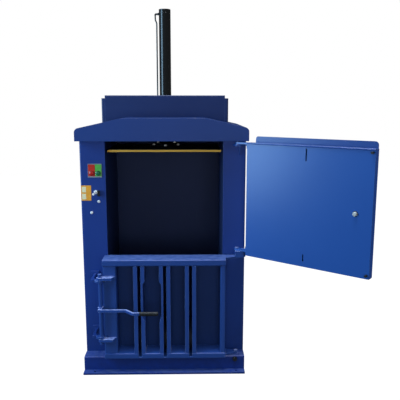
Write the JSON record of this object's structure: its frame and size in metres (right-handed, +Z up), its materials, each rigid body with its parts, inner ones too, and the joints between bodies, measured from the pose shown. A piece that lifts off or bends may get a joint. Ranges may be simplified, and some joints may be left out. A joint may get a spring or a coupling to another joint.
{
  "type": "recycling baler",
  "caption": "Vertical press for cartons and film: hydraulic ram over a chamber with hinged feed door, latch, slotted bale gate, lock shaft and push buttons.",
  "frame": {"origin": "on the floor under the press cylinder's axis, at the base plate's underside", "axes": "+Z up along the cylinder, +X to the right of a person at the feed side, +Y away from that person"},
  "size_m": [1.6404, 1.2162, 2.233],
  "materials": {
    "body_blue": "satin enamel",
    "chamber_blue": "satin enamel, rubbed by the load",
    "tower_navy": "satin enamel",
    "gate_blue": "gloss enamel",
    "gate_navy": "satin enamel",
    "door_blue": "gloss enamel",
    "ochre": "worn enamel",
    "cylinder_black": "gloss enamel",
    "dark_steel": "oiled",
    "bare_steel": "ground",
    "zinc": "zinc plated",
    "chrome": "hard chrome",
    "pipe_steel": "phosphated",
    "black_plastic": "moulded",
    "black_rubber": "moulded",
    "grey_plate": "anodised",
    "red_plate": "printed face, bare",
    "green_plate": "printed face, bare",
    "amber_plate": "bare face",
    "red_button": "moulded",
    "green_button": "moulded",
    "pale_nut": "passivated"
  },
  "bodies": {
    "machine": {"base_plate": "body_blue", "plinth_cover": "body_blue", "floor_beams": "dark_steel", "floor_plate": "bare_steel", "column_left": "body_blue", "column_right": "body_blue", "chamber_walls": "chamber_blue", "chamber_back": "chamber_blue", "rear_frame": "body_blue", "lintel": "chamber_blue", "deck": "body_blue", "hood": "body_blue", "tower_posts": "tower_navy", "tower_front": "tower_navy", "tower_rear": "tower_navy", "tower_lid": "tower_navy", "crosshead": "dark_steel", "cylinder_tube": "cylinder_black", "cylinder_gland": "dark_steel", "flange_bolts": "zinc", "pressure_pipe": "pipe_steel", "pipe_fitting": "zinc", "oil_tank": "dark_steel", "pump_motor": "dark_steel", "cable_gland": "black_plastic", "hinge_brackets": "body_blue", "hinge_pins": "zinc", "body_screws": "zinc", "gate_keepers": "body_blue", "latch_keeper": "chrome", "control_backing": "grey_plate", "legend_red": "red_plate", "legend_green": "green_plate", "button_collars": "chrome", "switch_blocks": "black_plastic", "amber_plate": "amber_plate"},
    "feed_door": {"door_skin": "door_blue", "door_panel": "door_blue", "door_frame": "door_blue", "door_bumpers": "black_rubber"},
    "door_latch": {"latch_spindle": "zinc", "latch_tongue": "zinc", "latch_grip": "black_plastic", "latch_nut": "pale_nut"},
    "bale_gate": {"gate_rails": "gate_blue", "gate_uprights": "gate_navy", "gate_ribs": "gate_navy", "gate_panel": "gate_navy", "gate_arms": "gate_blue", "lock_lugs": "gate_blue"},
    "gate_lock": {"lock_shaft": "gate_navy", "lock_lever": "gate_navy", "lock_grip": "black_rubber"},
    "ram": {"platen": "dark_steel", "platen_edge": "ochre", "ram_hub": "dark_steel", "hub_bolts": "zinc", "ram_rod": "chrome"},
    "red_push_button": {"red_button": "red_button"},
    "green_push_button": {"green_button": "green_button"}
  },
  "joints": [
    {"name": "feed_door_hinge", "type": "hinge", "parent": "machine", "child": "feed_door", "pos_m": [0.441, -0.301, 1.1], "axis": [0, 0, 1], "range_deg": [-141.4, 25]},
    {"name": "door_latch_turn", "type": "hinge", "parent": "feed_door", "child": "door_latch", "pos_m": [1.04086, -0.74531, 1.092], "axis": [0.6239, 0.7815, 0], "range_deg": [0, 72]},
    {"name": "bale_gate_hinge", "type": "hinge", "parent": "machine", "child": "bale_gate", "pos_m": [0.441, -0.301, 0.4], "axis": [0, 0, 1], "range_deg": [0, 110]},
    {"name": "gate_lock_turn", "type": "hinge", "parent": "bale_gate", "child": "gate_lock", "pos_m": [-0.388, -0.4, 0.43], "axis": [0, 0, 1], "range_deg": [-110, 0]},
    {"name": "ram_stroke", "type": "slide", "parent": "machine", "child": "ram", "axis": [0, 0, 1], "range_m": [-0.62, 0]},
    {"name": "red_button_press", "type": "slide", "parent": "machine", "child": "red_push_button", "axis": [0, 1, 0], "range_m": [0, 0.004], "stiffness_N_per_m": 400},
    {"name": "green_button_press", "type": "slide", "parent": "machine", "child": "green_push_button", "axis": [0, 1, 0], "range_m": [0, 0.004], "stiffness_N_per_m": 400}
  ]
}
